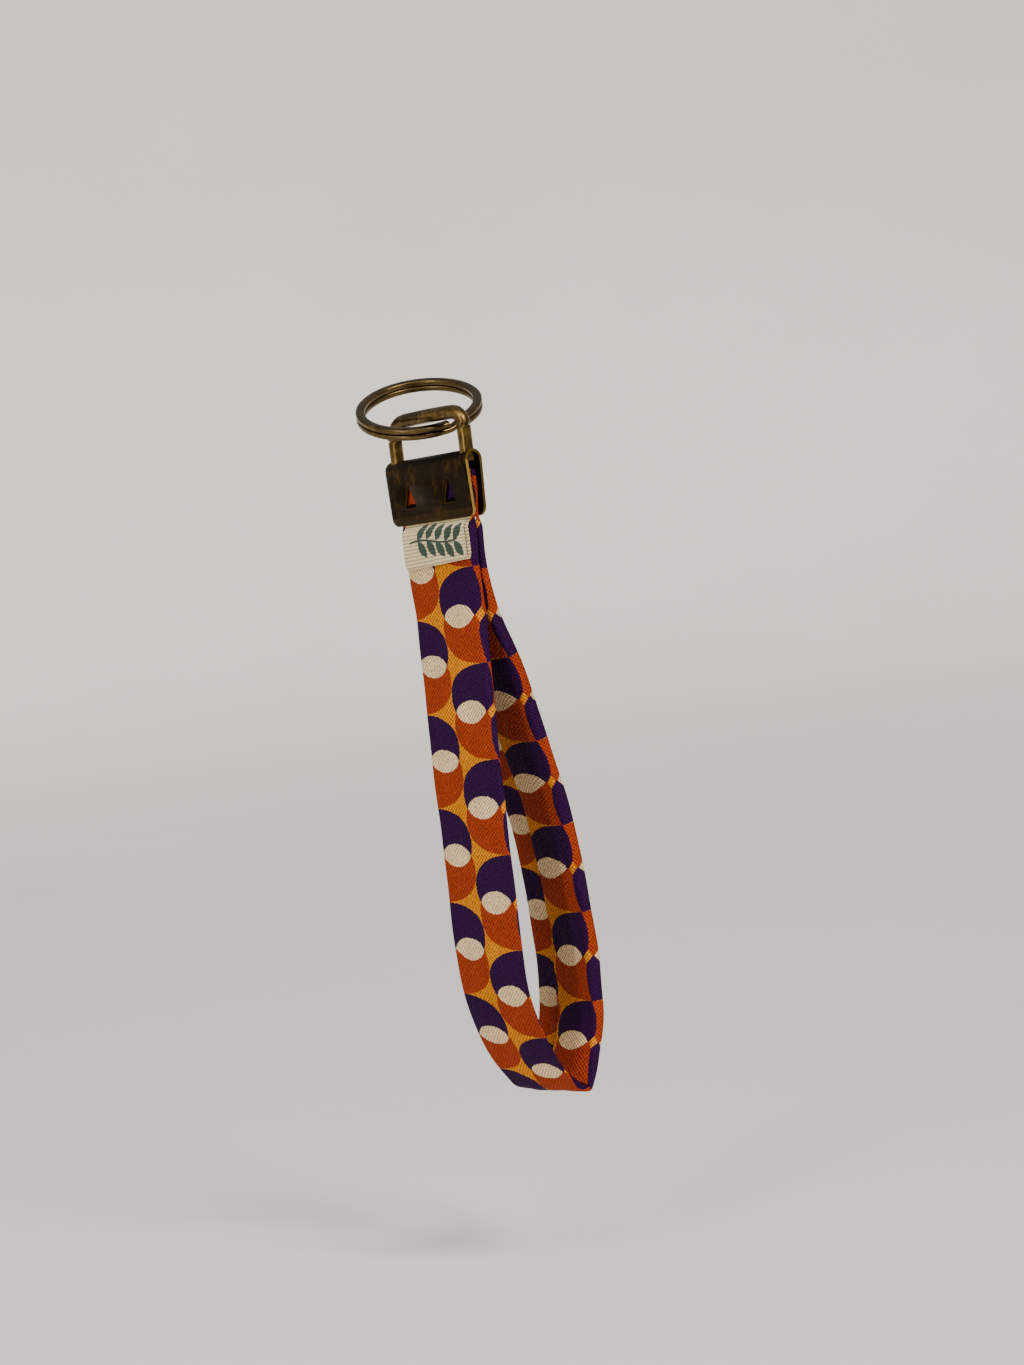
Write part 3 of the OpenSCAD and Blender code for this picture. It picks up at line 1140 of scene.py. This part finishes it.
    def at(self, run: float) -> tuple[Vector, Vector, float, float]:
        """Point, inward direction and thicknesses at a run along the strap.

        Args:
            run: Distance along the strap from the clamp's lips, in millimetres.

        Returns:
            The point and the inward direction in (y, z), and the leg's thickness at its middle and edges.
        """
        low, high = 0, len(self.run) - 1
        while high - low > 1:
            mid = (low + high) // 2
            low, high = (mid, high) if self.run[mid] <= run else (low, mid)
        t = (run - self.run[low]) / max(1e-9, self.run[high] - self.run[low])
        a, b = Vector(self.points[low]), Vector(self.points[high])
        before = Vector(self.points[max(0, low - 3)])
        after = Vector(self.points[min(len(self.points) - 1, high + 3)])
        along = (after - before).normalized()
        inward = Vector((-along.y, along.x))
        thick = lerp(self.thick[low], self.thick[high], t)
        place = a.lerp(b, t) - inward * self.between(self.bulge_stops, run)
        return place, inward, thick, min(thick, self.between(self.edge_stops, run))


@dataclass
class Strap:
    """The looped strap: printed cotton folded round batting, lapped along the inside of the loop."""

    outline: LoopOutline
    width: float = 25.4
    flare: float = 0.08
    edge_r: float = 1.35
    lap_x: float = -3.3
    lap_step: float = 0.5
    lip_r: float = 0.22
    row: float = 0.85
    crown: float = 0.22
    twist: float = -7.0
    gather: float = 1.5
    rear_shift: float = -1.5
    rear_squeeze: float = 0.042
    lift: float = 0.8
    drift_stops: tuple = ((0, -0.2), (40, 0.5), (85, 0.6), (115, 1.35), (148, 1.35), (175, 3.3))
    inner_stops: tuple = ((190, 0), (215, 2.6), (275, 2.6), (290, 0))
    wider_stops: tuple = ((-11, 1.7), (2, 1.5), (14, 0.6), (26, 0))
    finish: PrintedCotton = field(default_factory=PrintedCotton)

    def section(self, thick: float, edge: float, wider: float) -> list[tuple[float, float]]:
        """Outline across the strap for a leg's thickness.

        Args:
            thick: The leg's thickness at its middle, in millimetres.
            edge: The thickness of its pressed edges, in millimetres.
            wider: How far each edge is pressed out by the clamp, in millimetres.

        Returns:
            Places across the strap and depths below its outer face, from the hidden cut edge all the
            way round to the lapped fold.
        """
        full = self.outline.thickness
        half = self.width / 2 + self.flare * max(0.0, min(thick, full) - edge) + wider
        r = min(self.edge_r, 0.46 * edge)
        step, lip = self.lap_step * thick / full, self.lip_r * thick / full

        def inner(x: float) -> float:
            """Depth of the inner face."""
            return lerp(edge, thick, ease((half - abs(x)) / 6.5))

        def under(x: float) -> float:
            """Depth of the layer that runs on below the lap."""
            return inner(x) - step * ease((x + half - r) / 5)

        tuck = (self.lap_x + 0.9, under(self.lap_x + 0.9))
        outline = [tuck]
        outline += [(x, under(x)) for x in (self.lap_x + 0.3, self.lap_x - 0.15, self.lap_x - 0.8)]
        outline += [(x, under(x)) for x in spread(self.lap_x - 1.6, -half + r, 9)]
        outline += self.corner(-half + r, edge - r, r, 90)[1:]
        outline += [(-half, d) for d in spread(edge - r, r, 4)[1:]]
        outline += self.corner(-half + r, r, r, 180)[1:]
        outline += [(x, 0.0) for x in spread(-half + r, half - r, 26)[1:]]
        outline += self.corner(half - r, r, r, 270)[1:]
        outline += [(half, d) for d in spread(r, edge - r, 4)[1:]]
        outline += self.corner(half - r, edge - r, r, 0)[1:]
        outline += [(x, inner(x)) for x in spread(half - r, self.lap_x + 0.25, 19)[1:]]
        outline += [(self.lap_x + 0.25 - lip * math.sin(a), thick - lip + lip * math.cos(a))
                    for a in spread(0, math.pi, 6)[1:]]
        return outline + [tuck]

    @staticmethod
    def corner(x: float, depth: float, r: float, start: float) -> list[tuple[float, float]]:
        """Quarter of a rounded edge about a centre, turning on from a direction in degrees."""
        return [(x + r * math.cos(math.radians(a)), depth + r * math.sin(math.radians(a)))
                for a in spread(start, start + 90, 6)]

    def row_section(self, run: float) -> list[tuple[float, float]]:
        """The section at a run along the strap, a little wider near the clamp."""
        past_lips = min(run, self.outline.back_lips - run)
        return self.section(*self.outline.at(run)[2:], self.outline.between(self.wider_stops, past_lips))

    @staticmethod
    def widths(outline: list[tuple[float, float]]) -> list[float]:
        """Distance across the cloth of each point of a section, zero at the middle of the outer face."""
        total, walk = 0.0, [0.0]
        for (xa, da), (xb, db) in zip(outline, outline[1:]):
            total += math.hypot(xb - xa, db - da)
            walk.append(total)
        middle = min(range(len(outline)), key=lambda i: abs(outline[i][0]) + 10 * outline[i][1])
        return [w - walk[middle] + outline[middle][0] for w in walk]

    def cloth_run(self, run: float) -> float:
        """Distance along the cloth at a run along the strap, which is gathered a little on the back leg."""
        past = max(0.0, run - self.outline.low_run)
        gathered = run + self.gather * ease((run - 110) / 42)
        return gathered + self.rear_shift * ease(past / 12) + self.rear_squeeze * past

    def cloth_walk(self, walk: float, run: float) -> float:
        """Distance across the cloth, which drifts round the strap along its run."""
        inner = self.outline.between(self.inner_stops, run) * ease((walk - 15.9) / 9)
        return walk - self.outline.between(self.drift_stops, run) - inner

    def crumple(self, x: float, run: float, thick: float) -> float:
        """Small swelling and wrinkles of the cloth at a place, in millimetres outwards."""
        loose = ease((run - 4) / 14) * ease((self.outline.run[-1] - 10 - run) / 14)
        waves = 0.10 * math.sin(run / 5.3 + 0.35 * x) + 0.07 * math.sin(run / 2.9 - 0.22 * x + 1.3)
        waves += 0.05 * math.sin(0.9 * x + run / 8.0)
        swell = self.crown * (1 - (2 * x / self.width) ** 2)
        return loose * (swell + waves * min(1.0, thick / self.outline.thickness))

    def place(self, x: float, depth: float, run: float) -> Vector:
        """Where a point of the section lies on the loop.

        Args:
            x: Place across the strap.
            depth: Depth below the outer face.
            run: Distance along the strap.

        Returns:
            The place, in millimetres.
        """
        point, inward, thick, edge = self.outline.at(run)
        outwards = 1 - 2 * depth / max(thick, 1e-6)
        spot = point + inward * (depth - self.crumple(x, run, thick) * outwards)
        past = run - self.outline.low_run
        turn = math.radians(self.twist) * ease((past + 20) / 50) * ease((130 - past) / 70)
        middle = point + inward * (thick / 2)
        rise = self.lift * ease(x / self.width + 0.5) * ease(1 - abs(past) / 25)
        return Vector((x * math.cos(turn) - (spot.x - middle.x) * math.sin(turn),
                       middle.x + (spot.x - middle.x) * math.cos(turn) + x * math.sin(turn), spot.y + rise))

    def build(self) -> bpy.types.Object:
        """Folds the cloth round the loop and fixes both ends in the clamp.

        Returns:
            The finished piece.
        """
        start, end = self.outline.run[0], self.outline.run[-1]
        rows = round((end - start) / self.row)
        runs = spread(start, end, rows + 1)
        sections = [self.row_section(run) for run in runs]
        walks = [self.widths(section) for section in sections]
        columns = len(sections[0]) - 1
        strap = flat_grid("printed_strap", columns, rows)
        cloth = strap.data.uv_layers["cloth"]
        for corner in strap.data.loops:
            flat = strap.data.vertices[corner.vertex_index].co
            column, row = round((flat.x + 0.5) * columns), round((flat.y + 0.5) * rows)
            cloth.data[corner.index].uv = (self.cloth_walk(walks[row][column], runs[row]) * MM,
                                           self.cloth_run(runs[row]) * MM)
        for vertex in strap.data.vertices:
            column, row = round((vertex.co.x + 0.5) * columns), round((vertex.co.y + 0.5) * rows)
            x, depth = sections[row][column]
            vertex.co = self.place(x, depth, runs[row]) * MM
        tidy_shell(strap, merge=2e-6)
        shade(strap)
        dress(strap, self.finish.material())
        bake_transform(strap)
        return declare(strap, "strap_cotton", "strap_cover", "strap_core", "strap_end")


@dataclass
class EndStitch:
    """Thread that whips the strap's two ends together inside the open end of the clamp."""

    lips: float
    radius: float = 0.19
    heights: tuple[float, ...] = (5.9, 7.5)
    finish: PlainFinish = field(
        default_factory=lambda: PlainFinish("white_thread", srgb(238, 234, 222), 3000, 0.0001))

    def build(self) -> bpy.types.Object:
        """Builds both stitches as one piece.

        Returns:
            The finished piece.
        """
        loops = []
        for i, height in enumerate(self.heights):
            points = []
            for a in spread(-1.0, 1.0, 15):
                x = 12.95 - 0.9 * a**4
                points.append(Vector((x, 0.25 + 1.15 * a, self.lips + height + 0.5 * a * (-1) ** i)) * MM)
            loops.append(swept_wire("end_thread", points, ring_points(self.radius * MM, 12)))
        pick(loops[0])
        loops[1].select_set(True)
        bpy.ops.object.join()
        thread = bpy.context.object
        shade(thread)
        dress(thread, self.finish.material())
        return declare(thread, "thread", "end_stitch", body=Body.HEAD)


@dataclass
class Label:
    """The ribbon label: folded once at its foot, both ends tucked into the clamp."""

    lips: float
    hinge: Vector
    width: float = 24.0
    middle: float = 0.35
    thickness: float = 0.24
    drop: float = 10.6
    skew: float = 0.055
    tuck: float = 2.6
    front: float = -2.72
    rear: float = -2.0
    offset: float = 0.9
    scallop: float = 0.12
    seam: float = 0.8
    columns: int = 50
    rows: int = 150
    finish: RibbedRibbon = field(default_factory=RibbedRibbon)

    def edge_line(self) -> list[tuple[float, float]]:
        """The ribbon seen from its edge, from the front end down round the fold and up again."""
        foot, r = self.lips - self.drop, (self.rear - self.front) / 2
        down = [(self.layer_y(z, self.front, -0.98), z) for z in spread(self.lips + self.tuck, foot + r, 60)]
        fold = [((self.front + self.rear) / 2 - r * math.cos(a), foot + r - r * math.sin(a))
                for a in spread(0, math.pi, 12)]
        up = [(self.layer_y(z, self.rear, -0.80), z) for z in spread(foot + r, self.lips + self.tuck, 60)]
        return down + fold[1:] + up[1:]

    def layer_y(self, z: float, hanging: float, pinched: float) -> float:
        """Where a layer lies at a height, from the crimped lips to the free flap."""
        return lerp(pinched, hanging, ease((self.lips + 0.2 - z) / 2.8))

    def build(self) -> bpy.types.Object:
        """Folds the ribbon.

        Returns:
            The finished piece.
        """
        ribbon = flat_grid("ribbon_label", self.columns, self.rows)
        line = self.edge_line()
        run = [0.0]
        for (ya, za), (yb, zb) in zip(line, line[1:]):
            run.append(run[-1] + math.hypot(yb - ya, zb - za))
        cloth = ribbon.data.uv_layers["cloth"]
        for corner in ribbon.data.loops:
            flat = ribbon.data.vertices[corner.vertex_index].co
            cloth.data[corner.index].uv = (flat.x * self.width * MM,
                                           ((flat.y + 0.5) * run[-1] - self.tuck) * MM)
        for vertex in ribbon.data.vertices:
            vertex.co = self.place(vertex.co.x, (vertex.co.y + 0.5) * run[-1], line, run) * MM
        dress(ribbon, self.finish.material())
        seam = self.hinge + Vector((0, 0, self.seam * MM))
        pick(ribbon)
        bpy.ops.object.duplicate()
        ends = bpy.context.object
        ends.name = "ribbon_ends"
        self.cut(ends, seam, above=True)
        self.cut(ribbon, seam, above=False)
        tucked = 2 * next(r for r, (_, z) in zip(run, line) if z * MM < seam.z)
        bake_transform(ends)
        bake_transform(ribbon)
        for part, node, length, support in ((ends, "label_end", tucked, "sheet_clamp"),
                                            (ribbon, "label", run[-1] - tucked, "ribbon_ends")):
            declare(part, "label_ribbon", node)
        return ribbon

    def cut(self, part: bpy.types.Object, seam: Vector, above: bool) -> None:
        """Keeps what lies above or below the seam, and gives it the ribbon's thickness.

        Args:
            part: The ribbon, still without thickness.
            seam: A point at the seam's height, in metres.
            above: Whether the part above the seam is kept.
        """
        pick(part)
        bpy.ops.object.mode_set(mode="EDIT")
        bpy.ops.mesh.select_all(action="SELECT")
        bpy.ops.mesh.bisect(plane_co=seam, plane_no=(0, 0, 1), clear_inner=above, clear_outer=not above)
        bpy.ops.object.mode_set(mode="OBJECT")
        apply_modifier(part, "SOLIDIFY", thickness=self.thickness * MM, offset=0)
        tidy_shell(part, fill=False)
        shade(part, 50)

    def place(self, across: float, along: float, line: list, run: list[float]) -> Vector:
        """Where a point of the ribbon lies, in millimetres."""
        index = next((i for i in range(1, len(run)) if run[i] >= along - 1e-9), len(run) - 1)
        t = (along - run[index - 1]) / max(1e-9, run[index] - run[index - 1])
        y, z = lerp(line[index - 1][0], line[index][0], t), lerp(line[index - 1][1], line[index][1], t)
        z = self.lips + (z - self.lips) * (1 - self.skew * 2 * across)
        slide = self.offset * (ease((along / run[-1] - 0.42) / 0.16) - 0.5)
        x = across * self.width + self.middle + slide
        if abs(across) > 0.47:
            x += math.copysign(self.scallop, across) * abs(math.sin(math.pi * along / 1.24))
        bulge = 0.10 * math.sin(2.2 * across + 0.4 * z) * ease((self.lips - 2 - z) / 5)
        return Vector((x, y + bulge, z))


# ---------------------------------------------------------------- stage


@dataclass
class Studio:
    """Pale floor, soft lights and the camera."""

    azimuth: float = 50.02
    elevation: float = 2.26
    roll: float = -7.14
    distance: float = 0.700
    focal: float = 2827.6
    frame_long: float = 1365.0
    aim_right: float = 0.01275
    aim_z: float = -0.0676
    floor_gap: float = 0.045
    floor_radius: float = 2.6
    sweep_radius: float = 0.8
    sweep_steps: int = 10
    wall_height: float = 0.5

    def camera(self) -> None:
        """Puts the camera at the viewing angle, rolled a little to its side."""
        back, r = compass(self.azimuth, self.elevation), math.radians(self.roll)
        level = (-back).cross(Vector((0, 0, 1))).normalized()
        up = level.cross(-back)
        right = level * math.cos(r) + up * math.sin(r)
        above = up * math.cos(r) - level * math.sin(r)
        aim = Vector((0, 0, self.aim_z)) + level * self.aim_right
        data = bpy.data.cameras.new("view")
        camera = bpy.data.objects.new("view", data)
        bpy.context.scene.collection.objects.link(camera)
        turn = Matrix((right, above, back)).transposed().to_4x4()
        camera.matrix_world = Matrix.Translation(aim + back * self.distance) @ turn
        data.sensor_width = 36.0
        data.lens = self.focal * data.sensor_width / self.frame_long
        data.clip_start, data.clip_end = 0.05, 50
        bpy.context.scene.camera = camera

    @staticmethod
    def lamp(name: str, kind: str, direction: tuple[float, float], power: float,
             **settings: object) -> bpy.types.Object:
        """Adds a light that shines towards the object.

        Args:
            name: The light's name.
            kind: SUN or AREA.
            direction: Azimuth and elevation it comes from, in degrees.
            power: Watts per square metre for a sun, and watts for an area light.
            settings: Values of the light's own settings.

        Returns:
            The light.
        """
        data = bpy.data.lights.new(name, kind)
        data.energy = power
        for key, value in settings.items():
            setattr(data, key, value)
        lamp = bpy.data.objects.new(name, data)
        bpy.context.scene.collection.objects.link(lamp)
        back = compass(*direction)
        lamp.rotation_euler = (-back).to_track_quat("-Z", "Y").to_euler()
        if kind == "AREA":
            lamp.location = back * STRIP_DISTANCE
        return lamp

    def floor(self, level: float) -> None:
        """Builds a round floor whose rim curves up all round.

        Args:
            level: Height of the floor, in metres.
        """
        bpy.ops.object.select_all(action="DESELECT")
        bpy.ops.mesh.primitive_circle_add(vertices=96, radius=self.floor_radius, fill_type="NGON",
                                          location=(0, 0, level))
        floor = bpy.context.object
        floor.name = "floor"
        bpy.ops.object.mode_set(mode="EDIT")
        bpy.ops.mesh.select_all(action="SELECT")
        bpy.ops.mesh.inset(thickness=self.sweep_radius)
        select_edges(floor, lambda a, b: min(a.length, b.length) > self.floor_radius * 0.99)
        for i in range(self.sweep_steps):
            a, b = (math.pi / 2 * k / self.sweep_steps for k in (i, i + 1))
            out, up = math.sin(b) - math.sin(a), math.cos(a) - math.cos(b)
            grow = 1 + out * self.sweep_radius / (self.floor_radius + math.sin(a) * self.sweep_radius)
            bpy.ops.mesh.extrude_region_move()
            bpy.ops.transform.resize(value=(grow, grow, 1), center_override=(0, 0, level))
            bpy.ops.transform.translate(value=(0, 0, up * self.sweep_radius))
        bpy.ops.mesh.extrude_region_move(TRANSFORM_OT_translate={"value": (0, 0, self.wall_height)})
        bpy.ops.object.mode_set(mode="OBJECT")
        bake_place(floor)
        shade(floor)
        dress(floor, PlainFinish("pale_floor", srgb(232, 230, 226), 3, 0.0005, 0.95).material())
        floor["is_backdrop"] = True

    def build(self, lowest: float) -> None:
        """Builds the floor, the lights and the camera.

        Args:
            lowest: Height of the object's lowest point, in metres.
        """
        self.floor(lowest - self.floor_gap)
        world = bpy.data.worlds.new("studio")
        bpy.context.scene.world = world
        world.use_nodes = True
        sky = world.node_tree.nodes["Background"]
        sky.inputs[0].default_value = (*srgb(236, 240, 246), 1)
        sky.inputs[1].default_value = 0.42
        self.lamp("key", "SUN", (84, 40), 3.2, color=srgb(255, 246, 232), angle=math.radians(16))
        self.lamp("fill", "SUN", (4, 24), 0.7, color=srgb(255, 252, 246), angle=math.radians(50))
        self.lamp("side_strip", "AREA", (18, 8), 1.2, shape="RECTANGLE", size=0.03, size_y=0.5)
        self.lamp("top_strip", "AREA", (44, 52), 1.4, shape="RECTANGLE", size=0.6, size_y=0.03)
        self.camera()


def main() -> None:
    """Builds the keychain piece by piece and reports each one."""
    logging.basicConfig(level=logging.INFO, format="%(name)s: %(message)s")
    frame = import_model()
    cad_low, cad_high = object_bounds()
    clamp_low, clamp_high = (corner.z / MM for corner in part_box("clamp"))
    pivots = {joint["name"]: Vector(joint["pos_m"]) for joint in frame["joints"]}
    outline = LoopOutline(clamp_low, pivots["strap_flex"].z / MM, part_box("strap_cover")[0].z / MM + 0.9)
    LOG.info("strap: %.1f mm along its outer face, base %.2f mm",
             outline.run[-1] - outline.run[0], outline.base)
    for maker in (KeyRing(), Bail(), Clamp(clamp_low, clamp_high - clamp_low), Strap(outline),
                  EndStitch(clamp_low), Label(clamp_low, pivots["label_lift"])):
        piece = maker.build()
        LOG.info("%s: %d faces", piece.name, len(piece.data.polygons))
    Studio().build(cad_low.z)


if __name__ == "__main__":
    main()
